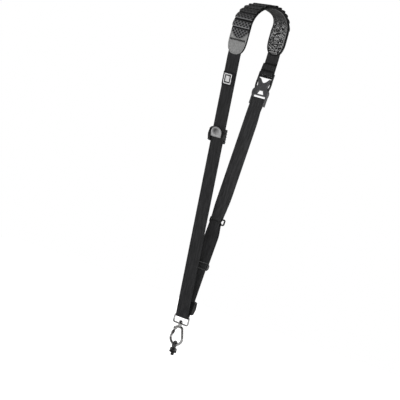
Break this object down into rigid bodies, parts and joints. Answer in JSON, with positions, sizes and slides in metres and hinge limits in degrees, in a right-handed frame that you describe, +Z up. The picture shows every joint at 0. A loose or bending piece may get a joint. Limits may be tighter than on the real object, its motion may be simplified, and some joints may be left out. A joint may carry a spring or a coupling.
{
  "type": "camera sling strap",
  "caption": "Camera sling strap: arched shoulder pad on a webbing loop with a side-release buckle, slider, cam-lock stops, and a swivel snap hook carrying a screw-in eye.",
  "frame": {"origin": "top of the hollow under the shoulder pad, on the strap's middle line, where the strap sits on its wearer", "axes": "+Z up along the hanging loop, X across the webbing, -Y towards the chest strap with the label, +Y towards the back strap with the buckle"},
  "size_m": [0.035, 0.142, 0.6295],
  "materials": {
    "binding_tape": "fine woven edge binding, black",
    "black_plastic": "moulded acetal, black, light texture",
    "chrome": "bright nickel plate, polished",
    "dark_metal": "dark grey steel, satin",
    "foam": "closed-cell foam core, matt",
    "label_white": "white woven label tape",
    "leather": "soft grey grained leather, matt",
    "mesh_lining": "air-mesh lining, dark grey",
    "rubber": "black rubber, matt",
    "silver_plastic": "moulded plastic, pale silver grey, satin",
    "smoke_plastic": "moulded acetal, dark grey, glossy",
    "webbing": "ribbed woven nylon webbing, charcoal"
  },
  "bodies": {
    "strap": {"buckle_plug": "black_plastic", "buckle_socket": "smoke_plastic", "bumper_body_front": "black_plastic", "bumper_body_rear": "black_plastic", "label_border": "label_white", "label_patch": "black_plastic", "leather_tip_back": "leather", "leather_tip_front": "leather", "pad_binding": "binding_tape", "pad_core": "foam", "pad_lining": "mesh_lining", "pad_loops": "webbing", "strap_loop": "dark_metal", "strap_slider": "black_plastic", "webbing_long": "webbing", "webbing_middle": "webbing", "webbing_top": "webbing"},
    "front_lever": {"bumper_lever_front": "silver_plastic"},
    "rear_lever": {"bumper_lever_rear": "silver_plastic"},
    "ring": {"swivel_ring": "chrome"},
    "hook": {"hook": "chrome"},
    "gate": {"hook_gate": "dark_metal"},
    "fastener": {"screw_eye": "dark_metal", "rubber_washer": "rubber"}
  },
  "joints": [
    {"name": "front_lever_hinge", "type": "hinge", "parent": "strap", "child": "front_lever", "pos_m": [0, -0.05073, -0.23098], "axis": [1, 0, 0], "range_deg": [0, 90]},
    {"name": "rear_lever_hinge", "type": "hinge", "parent": "strap", "child": "rear_lever", "pos_m": [0, 0.00927, -0.53337], "axis": [-1, 0, 0], "range_deg": [0, 90]},
    {"name": "ring_swing", "type": "hinge", "parent": "strap", "child": "ring", "pos_m": [0, 0, -0.5503], "axis": [1, 0, 0], "range_deg": [-60, 60]},
    {"name": "hook_swivel", "type": "hinge", "parent": "ring", "child": "hook", "pos_m": [0, 0, -0.5643], "axis": [0, 0, 1], "continuous": true},
    {"name": "gate_hinge", "type": "hinge", "parent": "hook", "child": "gate", "pos_m": [-0.00722, 0, -0.57367], "axis": [0, -1, 0], "range_deg": [0, 25], "stiffness_Nm_per_rad": 0.02, "springref_deg": -11.46},
    {"name": "fastener_swing", "type": "hinge", "parent": "hook", "child": "fastener", "pos_m": [0, 0, -0.60184], "axis": [1, 0, 0], "range_deg": [-90, 90]}
  ]
}
